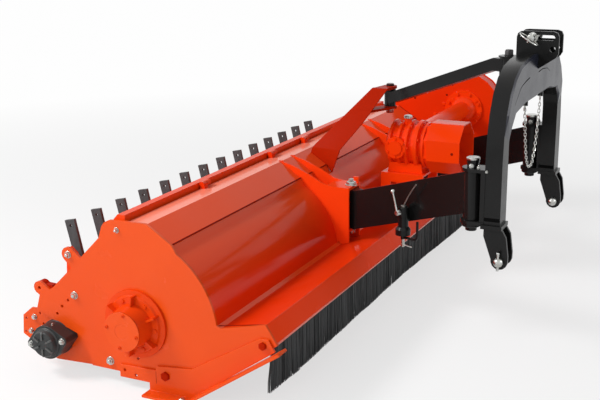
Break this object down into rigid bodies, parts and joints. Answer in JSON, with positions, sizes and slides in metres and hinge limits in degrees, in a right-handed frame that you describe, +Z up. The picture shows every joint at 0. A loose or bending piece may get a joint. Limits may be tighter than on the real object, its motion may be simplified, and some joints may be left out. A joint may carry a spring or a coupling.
{
  "type": "pruning mulcher",
  "caption": "Tractor-mounted pruning mulcher: arched rotor casing with rear rake tines, front brush, skids, rear roller, belt drive and a side-shifting three-point headstock.",
  "frame": {"origin": "middle of the footprint on the ground, at the level of the skid soles", "axes": "+X across the machine towards the belt drive, -Y towards the tractor, +Z up"},
  "size_m": [2.5846, 1.635, 1.145],
  "materials": {
    "orange_paint": "gloss powder coat",
    "black_paint": "gloss powder coat",
    "tine_steel": "dark scaled steel",
    "zinc_plate": "bright zinc plate",
    "bristle_black": "matt nylon bristle",
    "bare_steel": "machined steel",
    "belt_rubber": "matt rubber",
    "bearing_black": "black painted casting"
  },
  "bodies": {
    "chassis": {"roof_casing": "orange_paint", "near_side_plate": "orange_paint", "far_side_plate": "orange_paint", "near_skid": "orange_paint", "far_skid": "orange_paint", "near_rotor_hub": "orange_paint", "far_rotor_hub": "bearing_black", "counter_blade": "bare_steel", "near_arm_bracket": "orange_paint", "far_arm_bracket": "orange_paint", "strut_bracket": "orange_paint", "gearbox": "orange_paint", "gearbox_mount": "orange_paint", "pto_guard": "orange_paint", "shaft_tube": "orange_paint", "belt_case": "orange_paint", "belt_cover": "orange_paint", "belt_band": "belt_rubber", "brush_short_strip": "bristle_black", "brush_long_strip": "bristle_black"},
    "rake_hood": {"hood": "orange_paint", "rake_beam": "orange_paint"},
    "rotor_set": {"rotor": "bare_steel", "rotor_pulley": "bare_steel"},
    "drive_set": {"cross_shaft": "bare_steel", "drive_pulley": "bare_steel"},
    "input_shaft": {"pto_shaft": "bare_steel"},
    "roller_frame": {"near_roller_arm": "orange_paint", "far_roller_arm": "orange_paint", "roller_scraper": "orange_paint", "near_roller_bearing": "bearing_black", "far_roller_bearing": "bearing_black"},
    "roller_drum": {"roller": "orange_paint"},
    "near_swing_arm": {"near_arm": "black_paint"},
    "far_swing_arm": {"far_arm": "black_paint"},
    "strut": {"upper_strut": "black_paint"},
    "hitch_head": {"headstock": "black_paint", "safety_chain": "zinc_plate", "near_hitch_pin": "zinc_plate", "far_hitch_pin": "zinc_plate", "top_hitch_pin": "zinc_plate"},
    "cradle": {"shaft_cradle": "zinc_plate"},
    "clamp": {"cradle_clamp": "zinc_plate"},
    "tine_01": {"rake_tine_01": "tine_steel"},
    "tine_02": {"rake_tine_02": "tine_steel"},
    "tine_03": {"rake_tine_03": "tine_steel"},
    "tine_04": {"rake_tine_04": "tine_steel"},
    "tine_05": {"rake_tine_05": "tine_steel"},
    "tine_06": {"rake_tine_06": "tine_steel"},
    "tine_07": {"rake_tine_07": "tine_steel"},
    "tine_08": {"rake_tine_08": "tine_steel"},
    "tine_09": {"rake_tine_09": "tine_steel"},
    "tine_10": {"rake_tine_10": "tine_steel"},
    "tine_11": {"rake_tine_11": "tine_steel"},
    "tine_12": {"rake_tine_12": "tine_steel"},
    "tine_13": {"rake_tine_13": "tine_steel"},
    "tine_14": {"rake_tine_14": "tine_steel"}
  },
  "joints": [
    {"name": "hood_hinge", "type": "hinge", "parent": "chassis", "child": "rake_hood", "pos_m": [-0.00625, 0.3325, 0.606], "axis": [1, 0, 0], "range_deg": [0, 35]},
    {"name": "rotor_spin", "type": "hinge", "parent": "chassis", "child": "rotor_set", "pos_m": [-0.00625, 0.3135, 0.24], "axis": [1, 0, 0], "continuous": true},
    {"name": "drive_spin", "type": "hinge", "parent": "chassis", "child": "drive_set", "pos_m": [0.79375, -0.0945, 0.6], "axis": [1, 0, 0], "continuous": true},
    {"name": "input_spin", "type": "hinge", "parent": "chassis", "child": "input_shaft", "pos_m": [0.27875, -0.2295, 0.6], "axis": [0, -1, 0], "continuous": true},
    {"name": "roller_height", "type": "hinge", "parent": "chassis", "child": "roller_frame", "pos_m": [-0.00625, 0.4305, 0.081], "axis": [-1, 0, 0], "range_deg": [0, 25.5]},
    {"name": "roller_spin", "type": "hinge", "parent": "roller_frame", "child": "roller_drum", "pos_m": [-0.00625, 0.6585, 0.13], "axis": [1, 0, 0], "continuous": true},
    {"name": "near_arm_swing", "type": "hinge", "parent": "chassis", "child": "near_swing_arm", "pos_m": [-0.15625, -0.0295, 0.415], "axis": [0, 0, 1], "range_deg": [0, 57.8]},
    {"name": "far_arm_swing", "type": "hinge", "parent": "chassis", "child": "far_swing_arm", "pos_m": [0.71375, -0.0295, 0.415], "axis": [0, 0, 1], "range_deg": [0, 57.8]},
    {"name": "strut_swing", "type": "hinge", "parent": "chassis", "child": "strut", "pos_m": [0.27875, -0.0295, 0.8], "axis": [0, 0, 1], "range_deg": [0, 57.8]},
    {"name": "head_pivot", "type": "hinge", "parent": "near_swing_arm", "child": "hitch_head", "pos_m": [-0.48625, -0.6275, 0.612], "axis": [0, 0, 1], "range_deg": [-57.8, 0]},
    {"name": "cradle_turn", "type": "hinge", "parent": "near_swing_arm", "child": "cradle", "pos_m": [-0.38494, -0.33732, 0.43], "axis": [0, 0, 1], "range_deg": [-90, 0]},
    {"name": "clamp_turn", "type": "hinge", "parent": "near_swing_arm", "child": "clamp", "pos_m": [-0.40289, -0.32742, 0.49], "axis": [-0.8755, 0.4832, 0], "range_deg": [-120, 120]},
    {"name": "tine_01_slide", "type": "slide", "parent": "rake_hood", "child": "tine_01", "axis": [0, -0.2164, -0.9763], "range_m": [0, 0.165]},
    {"name": "tine_02_slide", "type": "slide", "parent": "rake_hood", "child": "tine_02", "axis": [0, -0.2164, -0.9763], "range_m": [0, 0.165]},
    {"name": "tine_03_slide", "type": "slide", "parent": "rake_hood", "child": "tine_03", "axis": [0, -0.2164, -0.9763], "range_m": [0, 0.165]},
    {"name": "tine_04_slide", "type": "slide", "parent": "rake_hood", "child": "tine_04", "axis": [0, -0.2164, -0.9763], "range_m": [0, 0.165]},
    {"name": "tine_05_slide", "type": "slide", "parent": "rake_hood", "child": "tine_05", "axis": [0, -0.2164, -0.9763], "range_m": [0, 0.165]},
    {"name": "tine_06_slide", "type": "slide", "parent": "rake_hood", "child": "tine_06", "axis": [0, -0.2164, -0.9763], "range_m": [0, 0.165]},
    {"name": "tine_07_slide", "type": "slide", "parent": "rake_hood", "child": "tine_07", "axis": [0, -0.2164, -0.9763], "range_m": [0, 0.165]},
    {"name": "tine_08_slide", "type": "slide", "parent": "rake_hood", "child": "tine_08", "axis": [0, -0.2164, -0.9763], "range_m": [0, 0.165]},
    {"name": "tine_09_slide", "type": "slide", "parent": "rake_hood", "child": "tine_09", "axis": [0, -0.2164, -0.9763], "range_m": [0, 0.165]},
    {"name": "tine_10_slide", "type": "slide", "parent": "rake_hood", "child": "tine_10", "axis": [0, -0.2164, -0.9763], "range_m": [0, 0.165]},
    {"name": "tine_11_slide", "type": "slide", "parent": "rake_hood", "child": "tine_11", "axis": [0, -0.2164, -0.9763], "range_m": [0, 0.165]},
    {"name": "tine_12_slide", "type": "slide", "parent": "rake_hood", "child": "tine_12", "axis": [0, -0.2164, -0.9763], "range_m": [0, 0.165]},
    {"name": "tine_13_slide", "type": "slide", "parent": "rake_hood", "child": "tine_13", "axis": [0, -0.2164, -0.9763], "range_m": [0, 0.165]},
    {"name": "tine_14_slide", "type": "slide", "parent": "rake_hood", "child": "tine_14", "axis": [0, -0.2164, -0.9763], "range_m": [0, 0.165]}
  ],
  "couplings": [
    {"joint": "drive_spin", "follows": "rotor_spin", "ratio": 0.77},
    {"joint": "input_spin", "follows": "rotor_spin", "ratio": 0.25667},
    {"joint": "far_arm_swing", "follows": "near_arm_swing", "ratio": 1},
    {"joint": "strut_swing", "follows": "near_arm_swing", "ratio": 1},
    {"joint": "head_pivot", "follows": "near_arm_swing", "ratio": -1}
  ]
}
